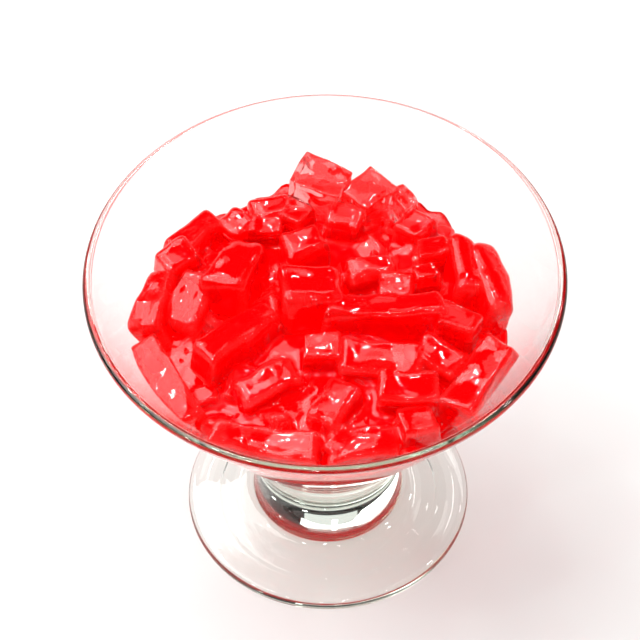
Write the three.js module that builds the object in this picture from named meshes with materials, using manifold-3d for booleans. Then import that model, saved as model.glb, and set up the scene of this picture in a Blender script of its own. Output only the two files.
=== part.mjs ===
// A dessert glass of cut jelly: a clear pressed-glass dish on a foot, filled with a heap of cut
// pieces of set red jelly.  Millimetres, +Z up, the foot stands on z = 0 and the axis is x = y = 0.
import * as THREE from 'three';
import * as BufferGeometryUtils from 'three/addons/utils/BufferGeometryUtils.js';
import Module from 'manifold-3d';

const wasm = await Module();
wasm.setup();

// ---- driving sizes of the dish -------------------------------------------------------------
const HEIGHT = 89;            // floor to the top of the rim
const RIM_RADIUS = 57;        // widest, at the rolled rim
const RIM_ROLL = 1.1;         // radius of the rolled rim
const FOOT_RADIUS = 35;       // widest of the foot
const FOOT_EDGE = 3.6;        // thickness of the foot's rounded edge
const FOOT_EDGE_STEPS = 4;    // points round that edge
// The foot's top, [radius, height] from its edge in to the stem:
const FOOT_TOP = [[32.2, 3.7], [28, 4.6], [23, 5.5], [20, 6.4], [18.5, 8]];
const RECESS_RADIUS = 27;     // shallow hollow under the foot
const RECESS_DEPTH = 1.6;
// Its round corner, [share of the radius, share of the depth]:
const RECESS_CORNER = [[0.8, 0.9], [0.95, 0.45]];
// The short solid stem and the flare into the bowl, [radius, height] from below:
const STEM = [[18, 11], [17.7, 16.5], [18, 21], [19, 25], [21, 29.7]];
const CONE_Z = 36;            // from here up the wall is a straight cone
const CONE_RADIUS = 25;
const RIM_NECK = [0.3, 1];    // how far in and down the rim's roll starts on the outside
const RIM_STEPS = 6;          // facets over the rim's roll
const WALL_TOP = 2.2;         // glass thickness just under the rim
const WALL_LOW = 4;           // and where the cone starts
const BOWL_FLOOR_Z = 30;      // lowest point of the inside
const BOWL_ROUND = [0.82, 0.55, 0.28];   // shares of the radius where the round bottom has a point
const TURN_STEPS = 64;        // facets round the dish

// ---- driving sizes of the filling ----------------------------------------------------------
const GLASS_GAP = 0.3;        // between the jelly and the glass
const FILL_EDGE_Z = 71;       // level of the closely packed jelly at the glass
const FILL_CROWN_Z = 76;      // and in the middle
const CROWN_ROUND = [0.75, 0.4];   // shares of the radius where that crown has a point
const HEAP_TOP_Z = 91;        // nothing of the heap stands higher

// The pieces that stand out of the heap:
// centre x, y, z, then length, width, height, then turn about Z, pitch and roll in degrees.
const PIECES = [
  // lying against the glass, round the edge
  [-38, -20, 74, 26, 9, 7, -62, 4, 20],
  [-39, 2, 72, 19, 8, 14, 74, 4, -22],
  [-35, 15, 76, 10, 8, 9, 35, 0, 8],
  [-21, 24, 75, 8, 8, 9, 50, 0, 0],
  [-13, 28, 76, 10, 8, 9, 5, 0, 0],
  [-1, 36, 76, 13, 10, 12, -30, 6, 0],
  [11, 33, 75, 11, 10, 12, 42, 0, 0],
  [18, 31, 75, 8, 5, 9, -60, 0, 0],
  [22, 24, 74, 9, 8, 10, -35, 0, 0],
  [32, 9, 74, 18, 8, 15, -80, 0, -20],
  [38, 6, 73, 22, 8, 15, -75, 0, -24],
  [36, -22, 75, 23, 10, 9, 57, -4, -12],
  [21, -33, 72, 9, 8, 9, 14, 0, 0],
  [8, -37, 70, 18, 9, 10, 8, 0, 0],
  [-15, -36, 70, 27, 8, 9, -14, 0, 0],
  // over the middle
  [-31, 2, 73, 15, 10, 13, 66, 0, -14],
  [-21, 8, 79, 18, 12, 12, 64, 6, -12],
  [-21, -10, 77, 24, 9, 9, 44, 8, -6],
  [-5, 16, 78, 11, 9, 9, 25, 0, 0],
  [-3, 2, 78, 16, 14, 12, 2, 4, -10],
  [14, -4, 77, 29, 8, 10, 2, 0, -12],
  [31, -7, 77, 10, 8, 9, -24, 6, -8],
  [26, 14, 76, 8, 7, 9, 10, 0, -10],
  [11, 10, 75, 12, 7, 9, 12, 0, 0],
  [-1, -14, 76, 9, 8, 9, 2, 0, 0],
  [19, -25, 75, 15, 9, 10, 0, 0, 0],
  [13, -15, 74, 20, 10, 9, -8, 2, 6],
  [-14, -21, 74, 17, 9, 8, 28, 0, 5],
  [2, -28, 73, 14, 9, 8, 62, 0, -5],
  [27, -15, 74, 13, 8, 9, -38, 0, 6],
];

// Small cut scraps between them: rings of blocks, each turned a little further than the last.
const SCRAP_RINGS = [[12, 5], [24, 9], [34, 12]];   // ring radius, number of blocks
const SCRAP_SIZE = 8;
const SCRAP_THINNER = 1;      // how much less each is in width
const SCRAP_Z = 73;
const SCRAP_DROP = 3;         // how much lower the outermost ring lies
const SCRAP_TURN = 37;        // degrees from one block to the next
const SCRAP_PITCH = 10;
const SCRAP_ROLL = -8;
const SIZE_CYCLE = 3;         // sizes grow by 1 mm over this many blocks, then start again
const LEVEL_CYCLE = 4;        // and so do their levels

function lathe(profile, steps) {
  const points = profile.map(([r, z]) => new THREE.Vector2(r, z));
  const geometry = new THREE.LatheGeometry(points, steps);
  geometry.rotateX(Math.PI / 2);
  return geometry;
}

// Points of the inside of the bowl from the rim down to its floor, moved inwards by `inset`.
function cavityProfile(inset) {
  const topR = RIM_RADIUS - WALL_TOP - inset;
  const topZ = HEIGHT - RIM_ROLL;
  const lowR = CONE_RADIUS - WALL_LOW - inset;
  const floorZ = BOWL_FLOOR_Z + inset;
  const points = [[topR, topZ], [lowR, CONE_Z + inset]];
  for (const share of BOWL_ROUND) {
    const drop = CONE_Z - floorZ;
    points.push([lowR * share, floorZ + drop * (1 - Math.sqrt(1 - share * share))]);
  }
  points.push([0, floorZ]);
  return points;
}

function dishProfile() {
  const edgeMid = FOOT_EDGE / 2;
  const corner = RECESS_CORNER.map(([r, z]) => [RECESS_RADIUS * r, RECESS_DEPTH * z]);
  const under = [[0, RECESS_DEPTH], ...corner, [RECESS_RADIUS, 0], [FOOT_RADIUS - edgeMid, 0]];
  const edge = [];
  for (let i = 1; i <= FOOT_EDGE_STEPS; i += 1) {
    const a = -Math.PI / 2 + (Math.PI * i) / (FOOT_EDGE_STEPS + 1);
    edge.push([FOOT_RADIUS - edgeMid + edgeMid * Math.cos(a), edgeMid + edgeMid * Math.sin(a)]);
  }
  const rimZ = HEIGHT - RIM_ROLL;
  const rimR = RIM_RADIUS - RIM_ROLL;
  const rim = [[RIM_RADIUS - RIM_NECK[0], rimZ - RIM_NECK[1]]];
  for (let i = 0; i < RIM_STEPS; i += 1) {
    const a = (Math.PI * i) / RIM_STEPS;
    rim.push([rimR + RIM_ROLL * Math.cos(a), rimZ + RIM_ROLL * Math.sin(a)]);
  }
  return [
    ...under, ...edge, ...FOOT_TOP, ...STEM, [CONE_RADIUS, CONE_Z], ...rim, ...cavityProfile(0),
  ];
}

// What may hold jelly: the inside of the bowl less the gap, filled up to a level above the rim.
function roomProfile() {
  const wall = cavityProfile(GLASS_GAP);
  return [...wall.reverse(), [wall[wall.length - 1][0], HEAP_TOP_Z], [0, HEAP_TOP_Z]];
}

function packedProfile() {
  const inside = cavityProfile(GLASS_GAP);
  const [topR, topZ] = inside[0];
  const [lowR, lowZ] = inside[1];
  const share = (FILL_EDGE_Z - lowZ) / (topZ - lowZ);
  const edge = [lowR + (topR - lowR) * share, FILL_EDGE_Z];
  const crown = CROWN_ROUND.map((part) => [
    edge[0] * part,
    FILL_EDGE_Z + (FILL_CROWN_Z - FILL_EDGE_Z) * (1 - part * part),
  ]);
  return [...inside.slice(1).reverse(), edge, ...crown, [0, FILL_CROWN_Z]];
}

function block(x, y, z, length, width, height, turn, pitch, roll) {
  const geometry = new THREE.BoxGeometry(length, width, height);
  const angles = [roll, pitch, turn].map((a) => THREE.MathUtils.degToRad(a));
  geometry.applyMatrix4(new THREE.Matrix4().makeRotationFromEuler(new THREE.Euler(...angles, 'ZYX')));
  geometry.translate(x, y, z);
  return geometry;
}

function solidOf(source) {
  const geometry = source.clone();
  geometry.deleteAttribute('normal');
  geometry.deleteAttribute('uv');
  const welded = BufferGeometryUtils.mergeVertices(geometry, 1e-4);
  return new wasm.Manifold(new wasm.Mesh({
    numProp: 3,
    vertProperties: new Float32Array(welded.attributes.position.array),
    triVerts: new Uint32Array(welded.index.array),
  }));
}

function geometryOf(solid) {
  const mesh = solid.getMesh();
  const geometry = new THREE.BufferGeometry();
  geometry.setAttribute('position', new THREE.BufferAttribute(new Float32Array(mesh.vertProperties), 3));
  geometry.setIndex(new THREE.BufferAttribute(new Uint32Array(mesh.triVerts), 1));
  geometry.computeVertexNormals();
  return geometry;
}

function heapSolid() {
  let heap = solidOf(lathe(packedProfile(), TURN_STEPS));
  for (const piece of PIECES) {
    heap = heap.add(solidOf(block(...piece)));
  }
  const outermost = SCRAP_RINGS[SCRAP_RINGS.length - 1][0];
  let turn = 0;
  SCRAP_RINGS.forEach(([radius, count], ring) => {
    for (let i = 0; i < count; i += 1) {
      turn += SCRAP_TURN;
      const a = (2 * Math.PI * (i + 0.5 * ring)) / count;
      const size = SCRAP_SIZE + (turn % SIZE_CYCLE);
      const z = SCRAP_Z + (turn % LEVEL_CYCLE) - SCRAP_DROP * (radius / outermost);
      const x = radius * Math.cos(a);
      const y = radius * Math.sin(a);
      const scrap = [x, y, z, size, size - SCRAP_THINNER, size, turn, SCRAP_PITCH, SCRAP_ROLL];
      heap = heap.add(solidOf(block(...scrap)));
    }
  });
  return heap.intersect(solidOf(lathe(roomProfile(), TURN_STEPS)));
}

const group = new THREE.Group();

const glass = new THREE.Mesh(
  lathe(dishProfile(), TURN_STEPS),
  new THREE.MeshStandardMaterial({ color: 0xe8f0ec, roughness: 0.05, metalness: 0 }),
);
glass.name = 'glass_dish';
group.add(glass);

const jelly = new THREE.Mesh(
  geometryOf(heapSolid()),
  new THREE.MeshStandardMaterial({ color: 0xe3101c, roughness: 0.12, metalness: 0 }),
);
jelly.name = 'jelly_heap';
group.add(jelly);

export default group;
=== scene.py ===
"""A dessert glass of cut jelly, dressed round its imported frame.

The frame gives the dish and the heap as plain solids.  This script turns a fine glass dish, fills
it with closely packed jelly, lays the cut pieces, offcuts, crumbs and air bubbles of the heap on
top, and sets up a small studio round it.  Everything is in metres, +Z up, and the dish stands on
z = 0 with its axis at x = y = 0.
"""

import math
import random
import bmesh
import bpy
from bpy.props import FloatProperty, FloatVectorProperty, IntProperty, PointerProperty
from bpy.types import Operator, Panel, PropertyGroup
from mathutils import Euler, Matrix, Vector, noise


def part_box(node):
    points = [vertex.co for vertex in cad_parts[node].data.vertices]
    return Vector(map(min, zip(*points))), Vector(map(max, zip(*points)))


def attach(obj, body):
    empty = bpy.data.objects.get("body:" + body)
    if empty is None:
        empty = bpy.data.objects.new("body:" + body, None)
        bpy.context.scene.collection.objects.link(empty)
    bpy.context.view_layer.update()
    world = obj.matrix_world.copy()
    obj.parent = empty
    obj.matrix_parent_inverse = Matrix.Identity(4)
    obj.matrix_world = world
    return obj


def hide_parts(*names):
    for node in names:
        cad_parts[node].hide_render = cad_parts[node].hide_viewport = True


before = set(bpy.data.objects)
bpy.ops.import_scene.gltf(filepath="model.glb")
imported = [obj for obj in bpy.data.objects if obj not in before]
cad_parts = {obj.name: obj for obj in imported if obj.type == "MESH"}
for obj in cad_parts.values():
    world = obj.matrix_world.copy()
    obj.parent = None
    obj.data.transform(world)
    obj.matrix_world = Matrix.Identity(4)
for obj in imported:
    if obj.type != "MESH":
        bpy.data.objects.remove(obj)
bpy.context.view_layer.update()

bl_info = {
    "name": "Dessert Glass of Cut Jelly",
    "version": (1, 0, 0),
    "blender": (4, 5, 0),
    "location": "3D View > Sidebar > Jelly",
    "description": "Builds a footed glass dish filled with cut pieces of red jelly",
    "category": "Add Mesh",
}

MM = 0.001
DISH_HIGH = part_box("glass_dish")[1]

WALL_FOOT = (21, 36)          # radius and height where the straight inner wall starts, in millimetres
RAIL_RADIUS = 10 * MM         # of the circle that outlines are turned along
WELD_DISTANCE = 0.005 * MM    # points this close are one
PIECE_INTO_GLASS = 0.12 * MM  # how far cut pieces are pressed into the wall
FILM_INTO_GLASS = 0.05 * MM   # and how far the film, crumbs and bubbles are
GLASS_IOR = 1.52
GLASS_GREEN_PER_METRE = 12.0  # how fast thick glass takes its colour
GLASS_PASSES = (0.985, 0.988, 0.985)  # share of red, green and blue light that a face of glass lets by
JELLY_IOR = 1.42
JELLY_PASSES = (0.755, 1, 1)  # the same for jelly, which colours the light by itself as well
AIR_IN_JELLY_IOR = 0.74
BUBBLE_PASSES = (1, 0.9, 0.9)
ALL_PASSES = (1, 1, 1)
LEAST_UPWARD = 0.25           # crumbs and bubbles lie where the surface's normal rises more than this
PACKED_STEPS_ROUND = 240
CRUMB_DEPTH = 0.6             # crumbs are thin, so a little clearer than the rest and partly painted with the lighter edge glow
CREASE_WIDTH = 0.16           # share of a cell beside its border that shows as the line between pieces

# The cut pieces that stand out of the heap, in millimetres and degrees:
# (x, y, z of the centre, length, width, height, turn, pitch, roll, corner radius)
SLABS = [
    (-38, -20, 74, 26, 9, 7, -62, 4, 20, 1.2),    # front left, one edge on the glass
    (-39, 2, 72, 19, 8, 14, 74, -4, -20, 1.3),    # left, leaning on the glass
    (-31, 3, 73, 16, 10, 12, 66, -15, -14, 2.0),  # and the one beside it
    (-21, 8, 79, 18, 12, 12, 64, 6, -12, 3.0),    # left of the middle, highest
    (-3, 2, 78, 16, 14, 12, 2, 4, -10, 2.8),      # middle
    (32, 9, 74, 18, 8, 15, -80, 0, -20, 2.8),     # right, leaning on the glass
    (38, 6, 73, 22, 8, 15, -75, 0, -24, 2.8),     # and the one outside it
    (36, -22, 75, 23, 10, 9, 57, -4, -12, 1.5),   # front right
]
BATONS = [
    (-21, -10, 77, 24, 9, 9, 44, 8, -6, 1.7),      # slanting down to the left
    (14, -4, 77, 29, 8, 10, 2, 0, -12, 1.5),       # the long one across
    (11, 10, 76, 12, 7, 9, 12, 0, 0, 1.4),
    (19, -25, 75, 15, 9, 10, 0, 0, 8, 1.5),
    (-15, -36, 70, 27, 8, 9, -14, 0, 8, 1.4),      # along the front glass, left
    (8, -37, 70, 18, 9, 10, 8, 0, 8, 1.4),         # and right
    (-31, 24, 73, 16, 8, 8, 48, 4, -14, 1.8),
    (17, 4, 77, 9, 8, 8, -10, 0, 0, 1.2),
    (13, -15, 74, 20, 10, 9, -8, 2, 10, 2.0),     # in front of the long one
    (-14, -21, 74, 17, 9, 8, 28, 0, 9, 1.9),
    (2, -28, 73, 14, 9, 8, 62, 0, -5, 1.9),
    (27, -15, 74, 13, 8, 9, -38, 0, 6, 1.6),
]
CUBES = [
    (-35, 15, 76, 10, 8, 9, 35, 0, 8, 1.5),
    (-5, 16, 78, 11, 9, 9, 25, 0, 0, 1.8),
    (31, -7, 77, 10, 8, 9, -24, 6, -8, 0.8),
    (-1, -14, 76, 9, 8, 9, 2, 0, 0, 0.7),
    (26, 15, 76, 8, 7, 9, 10, 0, -10, 0.9),
    (24, 7, 78, 6, 5, 7, 15, 0, 0, 0.7),
    (22, 24, 74, 9, 8, 10, -35, 0, 0, 1.4),
    (-13, 29, 76, 10, 8, 9, 5, 0, 0, 2.0),
    (-14, 24, 76, 8, 6, 8, 0, 0, 0, 0.8),
    (-21, 25, 76, 8, 8, 9, 50, 0, 0, 1.8),
    (-7, 27, 77, 7, 7, 8, -30, 0, 0, 0.6),
    (21, -33, 72, 9, 8, 9, 14, 0, 0, 0.9),
    (5, 26, 76, 9, 7, 8, -20, 0, 0, 0.8),
]

# The clear tips that stand free at the far side, with light coming through them:
TIPS = [
    (11, 33, 76, 11, 10, 12, 42, 0, 0, 0.5),
    (-1, 36, 77, 13, 10, 13, -30, 6, 0, 0.5),
    (19, 31, 76, 8, 5, 9, -60, 0, 0, 0.6),
]


def linear(hex_colour):
    """Turns an sRGB hex colour into linear red, green and blue."""
    parts = [int(hex_colour[i : i + 2], 16) / 255 for i in (1, 3, 5)]
    return tuple(c / 12.92 if c <= 0.04045 else ((c + 0.055) / 1.055) ** 2.4 for c in parts)


# ---------------------------------------------------------------------------------- settings


class GlassDishSizes(PropertyGroup):
    """Sizes of the footed glass dish"""

    rim_radius: FloatProperty(
        name="Rim radius", description="Widest radius of the bowl", default=DISH_HIGH.x, unit="LENGTH"
    )
    height: FloatProperty(
        name="Height", description="Floor to the top of the rim", default=DISH_HIGH.z, unit="LENGTH"
    )
    rim_roll: FloatProperty(
        name="Rim roll", description="Radius of the round rim", default=1.25 * MM, unit="LENGTH"
    )
    wall_top: FloatProperty(
        name="Wall under the rim",
        description="Glass thickness below the rim",
        default=2.4 * MM,
        unit="LENGTH",
    )
    foot_radius: FloatProperty(
        name="Foot radius", description="Radius of the round foot", default=35 * MM, unit="LENGTH"
    )
    foot_edge: FloatProperty(
        name="Foot edge", description="Thickness of the foot's rounded edge", default=3.6 * MM, unit="LENGTH"
    )
    bowl_floor: FloatProperty(
        name="Bowl floor", description="Height of the lowest point inside", default=30 * MM, unit="LENGTH"
    )
    steps_round: IntProperty(
        name="Steps round", description="Segments round the dish", default=192, min=24
    )


class JellySizes(PropertyGroup):
    """Sizes and numbers of the jelly's pieces"""

    fill_edge: FloatProperty(
        name="Fill at the glass",
        description="Level of the closely packed jelly where it meets the glass",
        default=70 * MM,
        unit="LENGTH",
    )
    fill_crown: FloatProperty(
        name="Fill in the middle",
        description="Level of the closely packed jelly in the middle",
        default=74 * MM,
        unit="LENGTH",
    )
    into_glass: FloatProperty(
        name="Reach into the glass",
        description="How far the jelly reaches into the wall, so that no air shows between them",
        default=0.18 * MM,
        unit="LENGTH",
    )
    grid_step: FloatProperty(
        name="Grid step", description="Spacing of the grid on a cut piece", default=1.0 * MM, unit="LENGTH"
    )
    offcuts: IntProperty(
        name="Offcuts", description="Number of small cut pieces between the large ones", default=42, min=0
    )
    film_grid: FloatProperty(
        name="Film grid", description="Grid of the melted film", default=0.65 * MM, unit="LENGTH"
    )
    film_settling: IntProperty(
        name="Film settling", description="How far the film flows into the nooks", default=10, min=0
    )
    film_below: FloatProperty(
        name="Film below",
        description="How far the film lies under flat faces",
        default=0.15 * MM,
        unit="LENGTH",
    )
    crumbs: FloatProperty(
        name="Crumbs", description="Crumbs of jelly per square metre of film", default=16000, min=0
    )
    bubbles: FloatProperty(
        name="Bubbles", description="Air bubbles per square metre of film", default=26000, min=0
    )


class JellyColours(PropertyGroup):
    """Colours of the jelly, the glass and the floor"""

    jelly_through: FloatVectorProperty(
        name="Jelly, seen through",
        description="Colour that the light keeps as it passes through the jelly",
        subtype="COLOR",
        default=linear("#fe0608"),
    )
    jelly_cloud: FloatVectorProperty(
        name="Jelly, where thick",
        description="Colour that the cloudy part of the jelly sends back where it is thick",
        subtype="COLOR",
        default=linear("#e60003"),
    )
    # Painted glow: a pale pink mixed into the cloud at thin edges, standing in for light coming through them
    jelly_edge_glow: FloatVectorProperty(
        name="Jelly, at edges",
        description="Colour that the cloudy part of the jelly sends back at its thin edges",
        subtype="COLOR",
        default=linear("#f8383a"),
    )
    glass_through: FloatVectorProperty(
        name="Glass, seen through",
        description="Colour that thick glass gives to what is behind it",
        subtype="COLOR",
        default=linear("#cfe6cb"),
    )
    floor: FloatVectorProperty(
        name="Floor", description="Colour of the studio floor", subtype="COLOR", default=linear("#c9c9c8")
    )


class StageSettings(PropertyGroup):
    """Camera and lights of the studio"""

    camera_distance: FloatProperty(
        name="Camera distance", description="From the camera to its target", default=1.0, unit="LENGTH"
    )
    camera_target: FloatVectorProperty(
        name="Camera target",
        description="Point that the camera looks at",
        default=(-1.3 * MM, 0, 72 * MM),
        unit="LENGTH",
    )
    camera_elevation: FloatProperty(
        name="Camera elevation",
        description="Angle of the view above level",
        default=math.radians(51.95),
        subtype="ANGLE",
    )
    camera_roll: FloatProperty(
        name="Camera roll",
        description="How far the camera leans to its right",
        default=math.radians(0.98),
        subtype="ANGLE",
    )
    camera_lens: FloatProperty(
        name="Lens", description="Focal length in millimetres on a 36 mm sensor", default=236.5
    )
    softbox_power: FloatProperty(
        name="Softbox power", description="Power of the large softbox", default=5.7, unit="POWER"
    )
    back_power: FloatProperty(
        name="Back power", description="Power of the panel behind", default=0.95, unit="POWER"
    )
    low_power: FloatProperty(
        name="Low panel power", description="Power of the panel below it", default=0.28, unit="POWER"
    )
    side_power: FloatProperty(
        name="Side power", description="Power of the dim panel on the right", default=0.3, unit="POWER"
    )
    horizon_power: FloatProperty(
        name="Horizon power", description="Power of the wide low panel behind", default=0.45, unit="POWER"
    )
    lamp_power: FloatProperty(
        name="Lamp power",
        description="Power of each small lamp that gives sparkle",
        default=0.3,
        unit="POWER",
    )
    lamps: IntProperty(name="Lamps", description="Number of small lamps round the dish", default=18, min=0)
    room_light: FloatProperty(
        name="Room light", description="Brightness of the room as it shows in glass and jelly", default=0.03
    )
    fill_light: FloatProperty(
        name="Fill light", description="Even light that the room gives to matt surfaces", default=1.0
    )


# ------------------------------------------------------------------------------ the bowl's form


def wall_line(sizes):
    """The straight inner wall: (radius, height) at its top, and how fast the radius grows with height."""
    top = Vector((sizes.rim_radius - sizes.wall_top, sizes.height - sizes.rim_roll))
    low = Vector((WALL_FOOT[0] * MM, WALL_FOOT[1] * MM))
    return top, (top.x - low.x) / (top.y - low.y)


def bowl_round(sizes):
    """The round bottom of the bowl that runs smoothly into the wall: its radius and where it ends."""
    top, growth = wall_line(sizes)
    lean = math.atan(1 / growth)
    at_floor = top.x - (top.y - sizes.bowl_floor) * growth
    radius = at_floor / (math.sin(lean) - growth * (1 - math.cos(lean)))
    return radius, lean


def inner_radius(sizes, z):
    """Radius of the inside of the bowl at height z."""
    radius, lean = bowl_round(sizes)
    top, growth = wall_line(sizes)
    z = max(z, sizes.bowl_floor)
    up = z - sizes.bowl_floor
    if up < radius * (1 - math.cos(lean)):
        return math.sqrt(max(0.0, radius**2 - (radius - up) ** 2))
    return top.x - (top.y - z) * growth


def arc(centre, radius, start, end, steps):
    """Points on an arc, in degrees from the +r direction towards +z, with both ends."""
    angles = [math.radians(start + (end - start) * i / steps) for i in range(steps + 1)]
    return [Vector((centre[0] + radius * math.cos(a), centre[1] + radius * math.sin(a))) for a in angles]


def in_mm(*pairs):
    """Points given as pairs of radius and height in millimetres."""
    return [Vector((r * MM, z * MM)) for r, z in pairs]


def smooth_through(points, steps):
    """A smooth line through the points (Catmull-Rom), without its first and last point."""
    ends = [points[0] * 2 - points[1], *points, points[-1] * 2 - points[-2]]
    line = []
    for before, start, end, after in zip(ends, ends[1:], ends[2:], ends[3:]):
        for i in range(steps):
            t = i / steps
            line.append(
                0.5
                * (
                    2 * start
                    + (end - before) * t
                    + (2 * before - 5 * start + 4 * end - after) * t**2
                    + (3 * start - before - 3 * end + after) * t**3
                )
            )
    return line[1:]


def inside_line(sizes, inset=0.0, top=None, steps=14):
    """The inside of the bowl from the floor's middle up to height `top`, moved inwards by `inset`."""
    radius, lean = bowl_round(sizes)
    top = top or wall_line(sizes)[0].y
    line = []
    for i in range(steps + 1):
        a = lean * i / steps
        height = sizes.bowl_floor + radius - (radius - inset) * math.cos(a)
        line.append(Vector(((radius - inset) * math.sin(a), height)))
    side = inset / math.sin(lean)
    line.append(Vector((inner_radius(sizes, top) - side, top)))
    return line


def dish_outline(sizes):
    """The half section of the dish, from the middle of its underside round to the bowl's floor."""
    edge = sizes.foot_edge / 2
    mid = sizes.foot_radius - edge
    recess = in_mm((0, 1.6), (14, 1.58), (21.6, 1.4), (25.6, 0.7), (27, 0))
    rise = in_mm((31.6, 3.9), (28, 4.6), (23, 5.5), (20, 6.4), (18.5, 8), (18, 11), (17.7, 16.5))
    flare = in_mm((18, 21), (19, 25), (21, 29.7), (25, 36), (31.2, 46))
    roll = sizes.rim_roll
    foot_edge = arc((mid, edge), edge, -90, 80, 10)
    return [
        recess[0],
        *smooth_through(recess, 5),
        recess[-1],
        *foot_edge,
        *smooth_through([foot_edge[-1], *rise, *flare], 6),
        flare[-1],
        *arc((sizes.rim_radius - roll, sizes.height - roll), roll, -32, 172, 20),
        *reversed(inside_line(sizes, steps=18)[:-1]),
    ]


# ------------------------------------------------------------------------- building with nodes


def add(tree, kind, settings=None, sockets=None, feeds=None):
    """Adds a node to a tree: its settings, the values of its sockets and the links that feed them."""
    node = tree.nodes.new(kind)
    for name, value in (settings or {}).items():
        setattr(node, name, value)
    for name, value in (sockets or {}).items():
        node.inputs[name].default_value = value
    for name, source in (feeds or {}).items():
        tree.links.new(source, node.inputs[name])
    return node


def new_tree(name, inputs):
    """A Geometry Nodes tree with a geometry input and output and the named inputs."""
    tree = bpy.data.node_groups.new(name, "GeometryNodeTree")
    tree.is_modifier = True
    tree.interface.new_socket("Geometry", in_out="INPUT", socket_type="NodeSocketGeometry")
    tree.interface.new_socket("Geometry", in_out="OUTPUT", socket_type="NodeSocketGeometry")
    for label, kind in inputs.items():
        tree.interface.new_socket(label, in_out="INPUT", socket_type=kind)
    entry = tree.nodes.new("NodeGroupInput")
    return tree, entry.outputs


def finish_tree(tree, geometry, material):
    """Ends a tree: instances made real, material set."""
    real = add(tree, "GeometryNodeRealizeInstances", feeds={"Geometry": geometry})
    dressed = add(tree, "GeometryNodeSetMaterial", feeds={"Geometry": real.outputs[0], "Material": material})
    end = tree.nodes.new("NodeGroupOutput")
    tree.links.new(dressed.outputs[0], end.inputs[0])


def turned_body_tree():
    """Turns an outline (a string of edges in XZ, drawn in its own XY) once round the Z axis."""
    tree, given = new_tree(
        "Turned body",
        {
            "Steps Round": "NodeSocketInt",
            "Rail Radius": "NodeSocketFloat",
            "Weld Distance": "NodeSocketFloat",
            "Material": "NodeSocketMaterial",
        },
    )
    outline = add(tree, "GeometryNodeMeshToCurve", feeds={"Mesh": given["Geometry"]})
    rail = add(
        tree,
        "GeometryNodeCurvePrimitiveCircle",
        feeds={"Resolution": given["Steps Round"], "Radius": given["Rail Radius"]},
    )
    shell = add(
        tree,
        "GeometryNodeCurveToMesh",
        feeds={"Curve": rail.outputs[0], "Profile Curve": outline.outputs[0]},
    )
    welded = add(
        tree,
        "GeometryNodeMergeByDistance",
        feeds={"Geometry": shell.outputs[0], "Distance": given["Weld Distance"]},
    )
    finish_tree(tree, welded.outputs[0], given["Material"])
    return tree


def scatter_tree():
    """Strews copies of one small shape over a surface, each with its own turn and size."""
    tree, given = new_tree(
        "Strewn pieces",
        {
            "Shape": "NodeSocketObject",
            "Density": "NodeSocketFloat",
            "Smallest": "NodeSocketFloat",
            "Largest": "NodeSocketFloat",
            "Seed": "NodeSocketInt",
            "Material": "NodeSocketMaterial",
        },
    )
    facing = add(tree, "ShaderNodeSeparateXYZ", feeds={0: add(tree, "GeometryNodeInputNormal").outputs[0]})
    upward = add(
        tree,
        "FunctionNodeCompare",
        settings={"data_type": "FLOAT", "operation": "GREATER_THAN"},
        sockets={1: LEAST_UPWARD},
        feeds={0: facing.outputs["Z"]},
    )
    places = add(
        tree,
        "GeometryNodeDistributePointsOnFaces",
        feeds={
            "Mesh": given["Geometry"],
            "Selection": upward.outputs[0],
            "Density": given["Density"],
            "Seed": given["Seed"],
        },
    )
    shape = add(tree, "GeometryNodeObjectInfo", feeds={"Object": given["Shape"]})
    turn = add(
        tree,
        "FunctionNodeRandomValue",
        settings={"data_type": "FLOAT_VECTOR"},
        sockets={0: (0, 0, 0), 1: (math.tau, math.tau, math.tau)},
        feeds={"Seed": given["Seed"]},
    )
    size = add(
        tree,
        "FunctionNodeRandomValue",
        settings={"data_type": "FLOAT"},
        feeds={"Seed": given["Seed"], 2: given["Smallest"], 3: given["Largest"]},
    )
    copies = add(
        tree,
        "GeometryNodeInstanceOnPoints",
        feeds={
            "Points": places.outputs["Points"],
            "Instance": shape.outputs["Geometry"],
            "Rotation": turn.outputs[0],
            "Scale": size.outputs[1],
        },
    )
    finish_tree(tree, copies.outputs[0], given["Material"])
    return tree


def strewn(name, surface, ball_size, density, smallest, largest, seed, material):
    """Strews small lumps over the upward faces of a surface: `smallest` and `largest` are radii in
    millimetres, before `ball_size` stretches the lump."""
    lump = bmesh.new()
    bmesh.ops.create_icosphere(lump, subdivisions=2, radius=1 * MM)
    bmesh.ops.scale(lump, vec=ball_size, verts=lump.verts)
    mesh = bpy.data.meshes.new("lump")
    lump.to_mesh(mesh)
    lump.free()
    shape = shown_object("lump", mesh)
    values = {
        "Shape": shape,
        "Density": density,
        "Smallest": smallest,
        "Largest": largest,
        "Seed": seed,
        "Material": material,
    }
    pieces = run_tree(name, surface.data.copy(), scatter_tree(), values)
    bpy.data.objects.remove(shape)
    face_out(pieces.data)
    return pieces


def run_tree(name, source, tree, values):
    """Runs a tree on a mesh and gives the plain mesh back as an object."""
    carrier = bpy.data.objects.new(name + "_source", source)
    bpy.context.scene.collection.objects.link(carrier)
    modifier = carrier.modifiers.new("Shape", "NODES")
    modifier.node_group = tree
    for item in tree.interface.items_tree:
        if item.in_out == "INPUT" and item.name in values:
            modifier[item.identifier] = values[item.name]
    graph = bpy.context.evaluated_depsgraph_get()
    mesh = bpy.data.meshes.new_from_object(carrier.evaluated_get(graph))
    bpy.data.objects.remove(carrier)
    return shown_object(name, mesh)


def shown_object(name, mesh):
    """An object of that name at the origin, which shows the mesh."""
    mesh.name = name
    shown = bpy.data.objects.new(name, mesh)
    bpy.context.scene.collection.objects.link(shown)
    return shown


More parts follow.
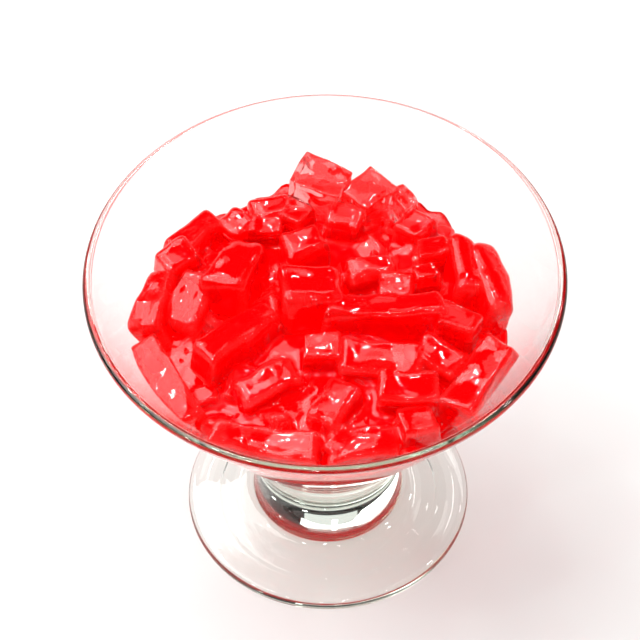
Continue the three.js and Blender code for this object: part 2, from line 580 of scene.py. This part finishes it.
def face_out(mesh):
    """Points all faces outwards and shades them smooth."""
    shape = bmesh.new()
    shape.from_mesh(mesh)
    bmesh.ops.recalc_face_normals(shape, faces=shape.faces)
    if shape.calc_volume(signed=True) < 0:
        bmesh.ops.reverse_faces(shape, faces=shape.faces)
    for face in shape.faces:
        face.smooth = True
    shape.to_mesh(mesh)
    shape.free()


def turn_round(name, outline, steps, material):
    """A closed body of revolution from its half outline, whose two ends are on the axis."""
    mesh = bpy.data.meshes.new(name + "_outline")
    points = [(p.x - RAIL_RADIUS, -p.y, 0) for p in outline]
    mesh.from_pydata(points, [(i, i + 1) for i in range(len(points) - 1)], [])
    values = {
        "Steps Round": steps,
        "Rail Radius": RAIL_RADIUS,
        "Weld Distance": WELD_DISTANCE,
        "Material": material,
    }
    body = run_tree(name, mesh, turned_body_tree(), values)
    face_out(body.data)
    return body


# ---------------------------------------------------------------------------------- materials


def new_material(name):
    """An empty material and its node tree."""
    material = bpy.data.materials.new(name)
    material.use_nodes = True
    material.node_tree.nodes.clear()
    return material, material.node_tree


def let_light_by(tree, shader, share, rays=("Is Shadow Ray",)):
    """Lets that share of light pass straight through a clear body on its way to a matt surface."""
    path = add(tree, "ShaderNodeLightPath")
    for ray in rays:
        open_way = add(tree, "ShaderNodeBsdfTransparent", sockets={"Color": (*share, 1)})
        feeds = {0: path.outputs[ray], 1: shader, 2: open_way.outputs[0]}
        shader = add(tree, "ShaderNodeMixShader", feeds=feeds).outputs[0]
    return shader


def pressed_soda_lime_glass(colours):
    """Soda-lime glass, pressed and fire polished: clear, hard and bright, faintly green where it is
    thick, with the slow waviness that pressing leaves and a trace of wiping on the surface."""
    material, tree = new_material("pressed soda-lime glass")
    place = add(tree, "ShaderNodeTexCoord").outputs["Object"]
    wave = add(
        tree, "ShaderNodeTexNoise", sockets={"Scale": 1 / (14 * MM), "Detail": 1.0}, feeds={"Vector": place}
    )
    bump = add(
        tree,
        "ShaderNodeBump",
        sockets={"Strength": 0.25, "Distance": 0.05 * MM},
        feeds={"Height": wave.outputs["Fac"]},
    )
    smear = add(
        tree, "ShaderNodeTexNoise", sockets={"Scale": 1 / (9 * MM), "Detail": 5.0}, feeds={"Vector": place}
    )
    rough = add(
        tree,
        "ShaderNodeMapRange",
        sockets={"From Min": 0.35, "From Max": 0.8, "To Min": 0.0, "To Max": 0.035},
        feeds={"Value": smear.outputs["Fac"]},
    )
    glass = add(
        tree,
        "ShaderNodeBsdfPrincipled",
        sockets={"Base Color": (*linear("#ffffff"), 1), "Transmission Weight": 1.0, "IOR": GLASS_IOR},
        feeds={"Roughness": rough.outputs[0], "Normal": bump.outputs[0]},
    )
    depth = add(
        tree,
        "ShaderNodeVolumeAbsorption",
        sockets={"Color": (*colours.glass_through, 1), "Density": GLASS_GREEN_PER_METRE},
    )
    surface = let_light_by(tree, glass.outputs[0], GLASS_PASSES, ("Is Diffuse Ray", "Is Shadow Ray"))
    add(tree, "ShaderNodeOutputMaterial", feeds={"Surface": surface, "Volume": depth.outputs[0]})
    return material


def set_gelatine_jelly(
    colours, name="set gelatine jelly", density=420.0, cloud_low=0.45, cloud_high=0.75
):
    """Gelatine jelly, set and cut with a knife: wet and mirror smooth, clear but for a little cloud,
    so thin corners are pale pink and anything thicker is a full red.  Where it is thin, the cloud
    is also painted a lighter pink: a painted glow for light coming through thin edges.  The cut
    faces carry the knife's ripple, about 5 mm long, and fine pitting, which is drawn at 1.7 mm so
    that it shows.
    `density` is per metre; the cloud's share lies between the two values."""
    material, tree = new_material(name)
    place = add(tree, "ShaderNodeTexCoord").outputs["Object"]
    ripple = add(
        tree, "ShaderNodeTexNoise", sockets={"Scale": 1 / (5 * MM), "Detail": 1.5}, feeds={"Vector": place}
    )
    pores = add(
        tree, "ShaderNodeTexNoise", sockets={"Scale": 1 / (1.7 * MM), "Detail": 1.5}, feeds={"Vector": place}
    )
    bump_ripple = add(
        tree,
        "ShaderNodeBump",
        sockets={"Strength": 0.5, "Distance": 0.5 * MM},
        feeds={"Height": ripple.outputs["Fac"]},
    )
    bump = add(
        tree,
        "ShaderNodeBump",
        sockets={"Strength": 0.15, "Distance": 0.12 * MM},
        feeds={"Height": pores.outputs["Fac"], "Normal": bump_ripple.outputs[0]},
    )
    clear = add(
        tree,
        "ShaderNodeBsdfPrincipled",
        sockets={
            "Base Color": (*linear("#ffffff"), 1),
            "Transmission Weight": 1.0,
            "IOR": JELLY_IOR,
            "Roughness": 0.02,
        },
        feeds={"Normal": bump.outputs[0]},
    )
    depth_here = add(tree, "ShaderNodeAttribute", settings={"attribute_name": "jelly_depth"})
    # Noise that sets how strongly the painted edge glow shows, patch by patch
    glow_noise = add(
        tree, "ShaderNodeTexNoise", sockets={"Scale": 1 / (11 * MM), "Detail": 1.0}, feeds={"Vector": place}
    )
    glow_strength = add(
        tree,
        "ShaderNodeMapRange",
        sockets={"From Min": 0.38, "From Max": 0.66, "To Min": 0.05, "To Max": 1.0},
        feeds={"Value": glow_noise.outputs["Fac"]},
    )
    # Painted glow: where jelly_depth is low the cloud's colour moves towards the pale edge colour, standing
    # in for light coming through thin edges
    edge_glow = add(
        tree,
        "ShaderNodeMapRange",
        settings={"interpolation_type": "SMOOTHERSTEP"},
        sockets={"From Min": 0.0, "From Max": 1.0, "To Max": 0.0},
        feeds={"Value": depth_here.outputs["Fac"], "To Min": glow_strength.outputs[0]},
    )
    cloud_with_painted_glow = add(
        tree,
        "ShaderNodeMix",
        settings={"data_type": "RGBA"},
        sockets={6: (*colours.jelly_cloud, 1), 7: (*colours.jelly_edge_glow, 1)},
        feeds={0: edge_glow.outputs[0]},
    )
    cloudy = add(
        tree,
        "ShaderNodeBsdfPrincipled",
        sockets={"IOR": JELLY_IOR, "Roughness": 0.04},
        feeds={"Base Color": cloud_with_painted_glow.outputs[2], "Normal": bump.outputs[0]},
    )
    cloud = add(
        tree, "ShaderNodeTexNoise", sockets={"Scale": 1 / (8 * MM), "Detail": 3.0}, feeds={"Vector": place}
    )
    thick = add(
        tree,
        "ShaderNodeMapRange",
        sockets={"From Min": 0.3, "From Max": 0.7, "To Min": cloud_low, "To Max": cloud_high},
        feeds={"Value": cloud.outputs["Fac"]},
    )
    share = add(
        tree,
        "ShaderNodeMapRange",
        sockets={"From Min": 0.0, "From Max": 1.0, "To Min": 0.06},
        feeds={"Value": depth_here.outputs["Fac"], "To Max": thick.outputs[0]},
    )
    flesh = add(
        tree,
        "ShaderNodeMixShader",
        feeds={0: share.outputs[0], 1: clear.outputs[0], 2: cloudy.outputs[0]},
    )
    depth = add(
        tree,
        "ShaderNodeVolumeAbsorption",
        sockets={"Color": (*colours.jelly_through, 1), "Density": density},
    )
    surface = let_light_by(tree, flesh.outputs[0], JELLY_PASSES)
    add(tree, "ShaderNodeOutputMaterial", feeds={"Surface": surface, "Volume": depth.outputs[0]})
    return material


def thin_gelatine_jelly(colours):
    """The same jelly in the tips that stand free: little cloud, so light from behind comes through."""
    return set_gelatine_jelly(colours, "set gelatine jelly, thin", 65.0, 0.06, 0.22)


def trapped_air():
    """A bubble of air inside jelly: light leaves the jelly for air, so its IOR is the inverse."""
    material, tree = new_material("trapped air")
    place = add(tree, "ShaderNodeTexCoord").outputs["Object"]
    skin = add(
        tree, "ShaderNodeTexNoise", sockets={"Scale": 1 / (0.6 * MM), "Detail": 1.0}, feeds={"Vector": place}
    )
    bump = add(
        tree,
        "ShaderNodeBump",
        sockets={"Strength": 0.05, "Distance": 0.05 * MM},
        feeds={"Height": skin.outputs["Fac"]},
    )
    air = add(
        tree,
        "ShaderNodeBsdfPrincipled",
        sockets={
            "Base Color": (*BUBBLE_PASSES, 1),
            "Transmission Weight": 1.0,
            "IOR": AIR_IN_JELLY_IOR,
            "Roughness": 0.0,
        },
        feeds={"Normal": bump.outputs[0]},
    )
    surface = let_light_by(tree, air.outputs[0], ALL_PASSES)
    add(tree, "ShaderNodeOutputMaterial", feeds={"Surface": surface})
    return material


def studio_paper(colours):
    """Matt white background paper, very slightly warm, with its faint tooth.  Paper's tooth is near
    0.1 mm and wouldn't show, so it is drawn at 0.8 mm."""
    material, tree = new_material("studio paper")
    place = add(tree, "ShaderNodeTexCoord").outputs["Object"]
    tooth = add(
        tree, "ShaderNodeTexNoise", sockets={"Scale": 1 / (0.8 * MM), "Detail": 2.0}, feeds={"Vector": place}
    )
    bump = add(
        tree,
        "ShaderNodeBump",
        sockets={"Strength": 0.05, "Distance": 0.1 * MM},
        feeds={"Height": tooth.outputs["Fac"]},
    )
    paper = add(
        tree,
        "ShaderNodeBsdfPrincipled",
        sockets={"Base Color": (*colours.floor, 1), "Roughness": 0.7, "Specular IOR Level": 0.2},
        feeds={"Normal": bump.outputs[0]},
    )
    add(tree, "ShaderNodeOutputMaterial", feeds={"Surface": paper.outputs[0]})
    return material


def material_of(name, make, *given):
    """The material of that name, made the first time it is asked for."""
    return bpy.data.materials.get(name) or make(*given)


# ------------------------------------------------------------------------------- cut pieces


def grid_marks(half, corner, step):
    """Grid lines across a face of a block: close together round its corners, even between them."""
    flat = half - corner
    count = max(2, round(2 * flat / step))
    between = [-flat + 2 * flat * i / count for i in range(1, count)]
    bend = [flat, flat + 0.45 * corner, half]
    return [-b for b in reversed(bend)] + between + bend


def block_shell(size, corner, step):
    """Points and quads of a block with rounded corners, centred on the origin."""
    half = [s / 2 for s in size]
    marks = [grid_marks(h, corner, step) for h in half]
    points, faces, seen = [], [], {}

    def point(place):
        key = tuple(round(c / (0.001 * MM)) for c in place)
        if key not in seen:
            core = Vector(max(corner - h, min(h - corner, c)) for c, h in zip(place, half))
            out = Vector(place) - core
            seen[key] = len(points)
            points.append(core + out.normalized() * corner)
        return seen[key]

    for axis in range(3):
        u, v = (axis + 1) % 3, (axis + 2) % 3
        for side in (-1, 1):
            for u0, u1 in zip(marks[u], marks[u][1:]):
                for v0, v1 in zip(marks[v], marks[v][1:]):
                    ring = []
                    for cu, cv in ((u0, v0), (u1, v0), (u1, v1), (u0, v1)):
                        place = [0.0, 0.0, 0.0]
                        place[axis], place[u], place[v] = side * half[axis], cu, cv
                        ring.append(point(place))
                    faces.append(ring if side > 0 else ring[::-1])
    return points, faces


def hand_cut(points, size, softness, rng):
    """Makes a block look cut by hand and set soft: out of square, dished, sagging and uneven."""
    half = Vector(size) / 2
    skew = [rng.uniform(-0.1, 0.1) for _ in range(4)]
    taper = [rng.uniform(-0.09, 0.09) for _ in range(3)]
    dish = [rng.uniform(0.1, 0.5) * MM for _ in range(3)]
    sag = rng.uniform(0.02, 0.07)
    bend = rng.uniform(-0.9, 0.5) * MM * (half.x / (8 * MM)) ** 2
    drift = Vector((rng.uniform(0, 50), rng.uniform(0, 50), rng.uniform(0, 50)))
    shaped = []
    for p in points:
        t = Vector((p.x / half.x, p.y / half.y, p.z / half.z))
        q = p.copy()
        for axis in range(3):
            others = [t[i] for i in range(3) if i != axis]
            hollow = dish[axis] * (1 - others[0] ** 2) * (1 - others[1] ** 2)
            q[axis] -= hollow * (t[axis] ** 5)
        q.x *= 1 + taper[0] * t.y - sag * t.z
        q.y *= 1 + taper[1] * t.x - sag * t.z
        q.z *= 1 + taper[2] * t.x
        q.x += skew[0] * p.y + skew[1] * p.z
        q.y += skew[2] * p.z
        q.z += skew[3] * p.x * 0.4 + bend * t.x**2
        q += noise.noise_vector(p / (8 * MM) + drift) * (0.45 * MM + 0.25 * softness)
        q += noise.noise_vector(p / (3.2 * MM) + drift) * (0.1 * MM + 0.06 * softness)
        shaped.append(q)
    return shaped


def placed(points, place, angles):
    """Moves points into the heap: turned by (turn, pitch, roll) in degrees, then set at `place`."""
    turn, pitch, roll = (math.radians(a) for a in angles)
    frame_of = Euler((roll, pitch, turn), "XYZ").to_matrix()
    return [frame_of @ p + place for p in points]


def kept_in(points, sizes, reach):
    """Presses the points that would stand past the inside of the bowl flat against it."""
    kept = []
    for p in points:
        limit = inner_radius(sizes, p.z) + reach
        radius = math.hypot(p.x, p.y)
        squeeze = limit / radius if radius > limit else 1
        kept.append(Vector((p.x * squeeze, p.y * squeeze, p.z)))
    return kept


def keep_in_bowl(mesh, sizes):
    """Presses a whole mesh against the inside of the bowl where it would stand past it."""
    places = kept_in([v.co for v in mesh.vertices], sizes, FILM_INTO_GLASS)
    for vertex, place in zip(mesh.vertices, places):
        vertex.co = place


def mark_depth(mesh, values):
    """Stores for each point how much jelly lies behind it: 0 at an edge, 1 where it is thick."""
    layer = mesh.attributes.new("jelly_depth", "FLOAT", "POINT")
    layer.data.foreach_set("value", values)


def edge_depth(p, size, reach):
    """0 on the edges of a block and 1 from `reach` inwards, for a point on its surface."""
    gaps = sorted(s / 2 - abs(c) for c, s in zip(p, size))
    return min(1.0, max(0.0, gaps[1]) / reach)


def cut_pieces(name, blocks, sizes, jelly, seed, clear_glowing_edge):
    """Makes one kind of cut piece: each block shaped, laid in the heap and pressed on the glass.
    Vector noise has a seed of its own, without which every run would give other shapes."""
    rng = random.Random(seed)
    noise.seed_set(seed)
    places, quads, depths = [], [], []
    for x, y, z, length, width, height, turn, pitch, roll, corner in blocks:
        size = [length * MM, width * MM, height * MM]
        points, faces = block_shell(size, corner * MM, jelly.grid_step)
        first = len(places)
        quads += [[first + i for i in face] for face in faces]
        depths += [edge_depth(p, size, clear_glowing_edge) for p in points]
        points = hand_cut(points, size, corner * MM, rng)
        points = placed(points, Vector((x, y, z)) * MM, (turn, pitch, roll))
        places += kept_in(points, sizes, PIECE_INTO_GLASS)
    mesh = bpy.data.meshes.new(name)
    mesh.from_pydata(places, [], quads)
    mark_depth(mesh, depths)
    face_out(mesh)
    return shown_object(name, mesh)


def heap_level(sizes, jelly, x, y):
    """Height of the closely packed jelly under a point of the heap."""
    edge = inner_radius(sizes, jelly.fill_edge)
    share = min(1.0, math.hypot(x, y) / edge)
    return jelly.fill_edge + (jelly.fill_crown - jelly.fill_edge) * (1 - share**2)


def offcut_blocks(sizes, jelly, seed):
    """Places for the small offcuts: strewn evenly over the heap, each sunk a little into it."""
    rng = random.Random(seed)
    golden = math.pi * (3 - math.sqrt(5))
    reach = inner_radius(sizes, jelly.fill_edge) - 3 * MM
    blocks = []
    for i in range(jelly.offcuts):
        radius = reach * math.sqrt((i + 0.5) / jelly.offcuts)
        angle = golden * i + rng.uniform(-0.2, 0.2)
        x, y = radius * math.cos(angle), radius * math.sin(angle)
        level = heap_level(sizes, jelly, x, y)
        size = [rng.uniform(6, 11), rng.uniform(5, 8), rng.uniform(5, 8)]
        z = level / MM + rng.uniform(-2.4, 0.3)
        angles = [rng.uniform(0, 360), rng.uniform(-35, 35), rng.uniform(-35, 35)]
        blocks.append((x / MM, y / MM, z, *size, *angles, rng.uniform(0.8, 1.8)))
    return blocks


# ---------------------------------------------------------------------------- packed jelly


def packed_outline(sizes, jelly):
    """Half section of the closely packed jelly: up the glass, over the edge and in to the middle."""
    round_steps, wall_steps, crown_steps = 30, 26, 45
    side = inside_line(sizes, inset=-jelly.into_glass, top=jelly.fill_edge, steps=round_steps)
    foot, lip = side[-2], side[-1]
    wall = [foot.lerp(lip, i / wall_steps) for i in range(1, wall_steps + 1)]
    crown = []
    for i in range(1, crown_steps):
        r = lip.x * (1 - i / crown_steps)
        crown.append(Vector((r, heap_level(sizes, jelly, r, 0))))
    return [*side[:-1], *wall, *crown, Vector((0, jelly.fill_crown))]


def crease(place, cell, drift):
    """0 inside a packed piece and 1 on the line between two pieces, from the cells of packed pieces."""
    distances = noise.voronoi(place / cell + drift)[0]
    gap = distances[1] - distances[0]
    return max(0.0, 1 - gap / CREASE_WIDTH)


def relieve_packed(mesh, sizes, jelly):
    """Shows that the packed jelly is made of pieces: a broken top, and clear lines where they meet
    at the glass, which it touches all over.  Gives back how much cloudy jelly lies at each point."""
    drift = Vector((3.1, 7.7, 1.9))
    piece_on_glass, piece_on_top = 13 * MM, 8 * MM
    line_clearness = 0.5
    lip_reach = 6 * MM
    cloudy = []
    for vertex in mesh.vertices:
        p = vertex.co
        radius = math.hypot(p.x, p.y)
        wall = inner_radius(sizes, p.z)
        on_glass = wall - radius < 0.5 * MM or p.z < sizes.bowl_floor + 4 * MM
        line = crease(p, piece_on_glass, drift) if on_glass else 0.0
        # clearer along the lines; the shader also paints part of its lighter edge glow there
        cloudy.append(1 - line_clearness * line)
        if not on_glass:
            cell = noise.cell(p * (1 / piece_on_top))
            lump = noise.noise(Vector((p.x, p.y, 0)) / (7 * MM)) * 1.6 * MM
            fade = min(1, (wall - radius) / (4 * MM))
            groove = 0.8 * MM * crease(p, piece_on_top, drift)
            vertex.co.z += fade * (lump + (cell - 0.5) * 0.6 * MM - groove)
    for vertex in mesh.vertices:
        p = vertex.co
        angle = Vector((p.x, p.y, 0)).normalized()
        lift = noise.noise(angle * 3.2 + drift) * 3 * MM + noise.noise(angle * 9 + drift) * 1.4 * MM
        near_lip = max(0.0, 1 - abs(p.z - jelly.fill_edge) / (7 * MM))
        gap = inner_radius(sizes, p.z) - math.hypot(p.x, p.y)
        p.z += lift * near_lip * max(0.0, 1 - gap / lip_reach)
        radius = inner_radius(sizes, p.z) - gap
        vertex.co = Vector((angle.x * radius, angle.y * radius, p.z)) if gap < lip_reach else p
    return cloudy


# ------------------------------------------------------------------------------ melted film


def melted_film(sources, sizes, jelly):
    """The wet film between the pieces: all of them flowed into one body, which fills the nooks and
    draws back from every edge, so that it shows only where pieces meet."""
    body = bmesh.new()
    for source in sources:
        body.from_mesh(source.data)
    joined = bpy.data.meshes.new("film_source")
    body.to_mesh(joined)
    body.free()
    carrier = bpy.data.objects.new("film_source", joined)
    bpy.context.scene.collection.objects.link(carrier)
    flow = carrier.modifiers.new("Flow", "REMESH")
    flow.mode = "VOXEL"
    flow.voxel_size = jelly.film_grid
    settle = carrier.modifiers.new("Settle", "SMOOTH")
    settle.factor = 0.5
    settle.iterations = jelly.film_settling
    graph = bpy.context.evaluated_depsgraph_get()
    mesh = bpy.data.meshes.new_from_object(carrier.evaluated_get(graph))
    bpy.data.objects.remove(carrier)
    free_height, drawn_down = 2 * MM, 0.5
    normals = [v.normal.copy() for v in mesh.vertices]
    for vertex, normal in zip(mesh.vertices, normals):
        p = vertex.co - normal * jelly.film_below
        over = p.z - heap_level(sizes, jelly, p.x, p.y) - free_height
        if over > 0:
            p.z -= drawn_down * over
        vertex.co = p
    keep_in_bowl(mesh, sizes)
    face_out(mesh)
    mark_depth(mesh, [1.0] * len(mesh.vertices))
    return shown_object("melted_film", mesh)


def film_bed(sizes, jelly):
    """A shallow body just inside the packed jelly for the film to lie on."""
    low = jelly.fill_edge - 6 * MM
    gap, lift = 0.6 * MM, 0.6 * MM
    crown_steps, steps_round = 20, 96
    line = [Vector((0, low)), Vector((inner_radius(sizes, low) - gap, low))]
    line.append(Vector((inner_radius(sizes, jelly.fill_edge) - gap, jelly.fill_edge)))
    for i in range(1, crown_steps):
        r = line[2].x * (1 - i / crown_steps)
        line.append(Vector((r, heap_level(sizes, jelly, r, 0) + lift)))
    line.append(Vector((0, jelly.fill_crown + lift)))
    return turn_round("film_bed", line, steps_round, None)


# --------------------------------------------------------------------------------- operators


class JELLY_OT_glass_dish(Operator):
    """Turns the footed glass dish, which stands for the frame's dish"""

    bl_idname = "jelly.glass_dish"
    bl_label = "Glass Dish"

    def execute(self, context):
        sizes, colours = context.scene.jelly_dish, context.scene.jelly_colours
        glass = material_of("pressed soda-lime glass", pressed_soda_lime_glass, colours)
        dish = turn_round("pressed_glass_dish", dish_outline(sizes), sizes.steps_round, glass)
        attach(dish, "root")
        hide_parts("glass_dish")
        return {"FINISHED"}


class JELLY_OT_packed_jelly(Operator):
    """Fills the bowl with the closely packed jelly under the heap"""

    bl_idname = "jelly.packed_jelly"
    bl_label = "Packed Jelly"

    def execute(self, context):
        sizes, jelly = context.scene.jelly_dish, context.scene.jelly_sizes
        flesh = material_of("set gelatine jelly", set_gelatine_jelly, context.scene.jelly_colours)
        outline = packed_outline(sizes, jelly)
        packed = turn_round("packed_jelly", outline, PACKED_STEPS_ROUND, flesh)
        mark_depth(packed.data, relieve_packed(packed.data, sizes, jelly))
        face_out(packed.data)
        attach(packed, "root")
        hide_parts("jelly_heap")
        return {"FINISHED"}


class JELLY_OT_cut_pieces(Operator):
    """Lays the slabs, batons, cubes and offcuts of cut jelly on the heap"""

    bl_idname = "jelly.cut_pieces"
    bl_label = "Cut Pieces"

    def execute(self, context):
        sizes, jelly = context.scene.jelly_dish, context.scene.jelly_sizes
        flesh = material_of("set gelatine jelly", set_gelatine_jelly, context.scene.jelly_colours)
        thin_flesh = thin_gelatine_jelly(context.scene.jelly_colours)
        # The blocks of each kind, its seed and the width of its clear edge, where the shader also paints a
        # lighter glow:
        kinds = {
            "jelly_slabs": (SLABS, 11, 2.8 * MM),
            "jelly_batons": (BATONS, 23, 2.0 * MM),
            "jelly_cubes": (CUBES, 37, 1.8 * MM),
            "jelly_tips": (TIPS, 41, 5.5 * MM),
            "jelly_offcuts": (offcut_blocks(sizes, jelly, 5), 53, 1.5 * MM),
        }
        for name, (blocks, seed, clear_glowing_edge) in kinds.items():
            pieces = cut_pieces(name, blocks, sizes, jelly, seed, clear_glowing_edge)
            pieces.data.materials.append(thin_flesh if name == "jelly_tips" else flesh)
            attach(pieces, "root")
            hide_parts("jelly_heap")
        return {"FINISHED"}


class JELLY_OT_melted_film(Operator):
    """Pours the wet film of melted jelly between the pieces"""

    bl_idname = "jelly.melted_film"
    bl_label = "Melted Film"

    def execute(self, context):
        sizes, jelly = context.scene.jelly_dish, context.scene.jelly_sizes
        flesh = material_of("set gelatine jelly", set_gelatine_jelly, context.scene.jelly_colours)
        bed = film_bed(sizes, jelly)
        names = ("jelly_batons", "jelly_cubes", "jelly_offcuts")
        film = melted_film([bed, *(bpy.data.objects[name] for name in names)], sizes, jelly)
        bpy.data.objects.remove(bed)
        film.data.materials.append(flesh)
        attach(film, "root")
        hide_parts("jelly_heap")
        return {"FINISHED"}


class JELLY_OT_crumbs(Operator):
    """Strews small crumbs of jelly over the wet film"""

    bl_idname = "jelly.crumbs"
    bl_label = "Crumbs"

    def execute(self, context):
        jelly = context.scene.jelly_sizes
        flesh = material_of("set gelatine jelly", set_gelatine_jelly, context.scene.jelly_colours)
        film = bpy.data.objects["melted_film"]
        crumbs = strewn(
            "jelly_crumbs",
            film,
            ball_size=(1.5, 1.0, 0.8),
            density=jelly.crumbs,
            smallest=0.5,
            largest=1.1,
            seed=3,
            material=flesh,
        )
        keep_in_bowl(crumbs.data, context.scene.jelly_dish)
        mark_depth(crumbs.data, [CRUMB_DEPTH] * len(crumbs.data.vertices))
        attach(crumbs, "root")
        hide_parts("jelly_heap")
        return {"FINISHED"}


class JELLY_OT_bubbles(Operator):
    """Strews the small air bubbles that cling in the wet film"""

    bl_idname = "jelly.bubbles"
    bl_label = "Air Bubbles"

    def execute(self, context):
        jelly = context.scene.jelly_sizes
        air = material_of("trapped air", trapped_air)
        film = bpy.data.objects["melted_film"]
        bubbles = strewn(
            "air_bubbles",
            film,
            ball_size=(1, 1, 1),
            density=jelly.bubbles,
            smallest=0.22,
            largest=0.5,
            seed=8,
            material=air,
        )
        keep_in_bowl(bubbles.data, context.scene.jelly_dish)
        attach(bubbles, "root")
        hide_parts("jelly_heap")
        return {"FINISHED"}


class JELLY_OT_stage(Operator):
    """Sets up the paper floor, the lights and the camera"""

    bl_idname = "jelly.stage"
    bl_label = "Studio"

    def execute(self, context):
        stage = context.scene.jelly_stage
        lay_floor(context.scene)
        hang_lights(context.scene, stage)
        set_camera(context.scene, stage)
        set_picture(context.scene)
        return {"FINISHED"}


def lay_floor(scene):
    """A round floor of paper that turns up into a low wall far away, so no edge shows."""
    low = -0.08 * MM
    reach, cove, wall = 2.6, 0.3, 0.7
    steps_round = 96
    line = [Vector((0, low)), Vector((reach, low))]
    line += arc((reach, low + cove), cove, -80, 0, 8)
    line.append(Vector((reach + cove, wall)))
    paper = material_of("studio paper", studio_paper, scene.jelly_colours)
    turn_round("studio_floor", line, steps_round, paper)


def direction(azimuth, elevation):
    """Unit vector from compass angle (from +X towards +Y) and height angle, in degrees."""
    a, e = math.radians(azimuth), math.radians(elevation)
    return Vector((math.cos(a) * math.cos(e), math.sin(a) * math.cos(e), math.sin(e)))


def hang_light(scene, name, azimuth, elevation, distance, size, power):
    """A rectangular light at that direction and distance, turned towards the dish."""
    light = bpy.data.lights.new(name, "AREA")
    light.shape = "RECTANGLE"
    light.size, light.size_y = size
    light.energy = power
    lamp = bpy.data.objects.new(name, light)
    target = Vector((0, 0, 60 * MM))
    lamp.location = target + direction(azimuth, elevation) * distance
    lamp.rotation_euler = (target - lamp.location).to_track_quat("-Z", "Y").to_euler()
    scene.collection.objects.link(lamp)


def hang_lights(scene, stage):
    """A large softbox on the left, dim panels behind and on the right, a spread of small lamps for
    sparkle, and a room that is dark in reflections but fills matt surfaces evenly."""
    hang_light(scene, "softbox", 158, 52, 0.72, (0.72, 0.62), stage.softbox_power)
    hang_light(scene, "back_panel", 94, 60, 1.0, (0.6, 0.2), stage.back_power)
    hang_light(scene, "low_panel", 92, 49, 1.0, (0.5, 0.18), stage.low_power)
    hang_light(scene, "side_panel", -5, 42, 1.0, (0.9, 0.5), stage.side_power)
    hang_light(scene, "horizon_panel", 90, 4, 1.3, (1.6, 0.3), stage.horizon_power)
    lamp_size = (0.04, 0.04)
    golden_angle = 137.5
    for i in range(stage.lamps):
        azimuth = 75 + golden_angle * i
        elevation = 30 + 45 * (i + 0.5) / stage.lamps
        hang_light(scene, f"lamp_{i + 1}", azimuth, elevation, 0.8, lamp_size, stage.lamp_power)
    world = bpy.data.worlds.new("studio_room")
    world.use_nodes = True
    world.cycles.sampling_method = "NONE"
    tree = world.node_tree
    tree.nodes.clear()
    path = add(tree, "ShaderNodeLightPath")
    dark = add(tree, "ShaderNodeBackground", sockets={"Strength": stage.room_light})
    fill = add(tree, "ShaderNodeBackground", sockets={"Strength": stage.fill_light})
    feeds = {0: path.outputs["Is Diffuse Ray"], 1: dark.outputs[0], 2: fill.outputs[0]}
    room = add(tree, "ShaderNodeMixShader", feeds=feeds)
    add(tree, "ShaderNodeOutputWorld", feeds={"Surface": room.outputs[0]})
    scene.world = world


def set_camera(scene, stage):
    """The camera in front, above the rim, leaning a little to its right."""
    data = bpy.data.cameras.new("camera")
    data.sensor_width = 36
    data.lens = stage.camera_lens
    data.clip_start = 0.01
    camera = bpy.data.objects.new("camera", data)
    look = Vector((0, math.cos(stage.camera_elevation), -math.sin(stage.camera_elevation)))
    right = Vector((1, 0, 0))
    up = right.cross(look)
    roll = stage.camera_roll
    side = right * math.cos(roll) - up * math.sin(roll)
    top = right * math.sin(roll) + up * math.cos(roll)
    place = Vector(stage.camera_target) - look * stage.camera_distance
    turn = Matrix((side, top, -look)).transposed().to_4x4()
    camera.matrix_world = Matrix.Translation(place) @ turn
    scene.collection.objects.link(camera)
    scene.camera = camera


def set_picture(scene):
    """Plain colours, and enough bounces for light to get through many layers of glass and jelly."""
    scene.view_settings.view_transform = "Standard"
    scene.cycles.max_bounces = 40
    scene.cycles.transmission_bounces = 40
    scene.cycles.transparent_max_bounces = 64
    scene.cycles.glossy_bounces = 12
    scene.cycles.diffuse_bounces = 6


class JELLY_PT_panel(Panel):
    """Sizes, colours and studio settings, and the steps that build the dish"""

    bl_label = "Dessert Glass of Jelly"
    bl_idname = "JELLY_PT_panel"
    bl_space_type = "VIEW_3D"
    bl_region_type = "UI"
    bl_category = "Jelly"

    def draw(self, context):
        scene = context.scene
        for group in (scene.jelly_dish, scene.jelly_sizes, scene.jelly_colours, scene.jelly_stage):
            for name in group.__annotations__:
                self.layout.prop(group, name)
        for operator in OPERATORS:
            self.layout.operator(operator.bl_idname)


OPERATORS = (
    JELLY_OT_glass_dish,
    JELLY_OT_packed_jelly,
    JELLY_OT_cut_pieces,
    JELLY_OT_melted_film,
    JELLY_OT_crumbs,
    JELLY_OT_bubbles,
    JELLY_OT_stage,
)
GROUPS = {
    "jelly_dish": GlassDishSizes,
    "jelly_sizes": JellySizes,
    "jelly_colours": JellyColours,
    "jelly_stage": StageSettings,
}


def register():
    """Makes the classes known and hangs their settings on the scene."""
    for cls in (*GROUPS.values(), *OPERATORS, JELLY_PT_panel):
        bpy.utils.register_class(cls)
    for name, group in GROUPS.items():
        setattr(bpy.types.Scene, name, PointerProperty(type=group))


def unregister():
    """Takes the settings and the classes away again."""
    for name in GROUPS:
        delattr(bpy.types.Scene, name)
    for cls in (JELLY_PT_panel, *reversed(OPERATORS), *reversed(GROUPS.values())):
        bpy.utils.unregister_class(cls)


def main():
    """Registers the add-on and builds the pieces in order."""
    register()
    bpy.ops.jelly.glass_dish()
    bpy.ops.jelly.packed_jelly()
    bpy.ops.jelly.cut_pieces()
    bpy.ops.jelly.melted_film()
    bpy.ops.jelly.crumbs()
    bpy.ops.jelly.bubbles()
    bpy.ops.jelly.stage()


if __name__ == "__main__":
    main()
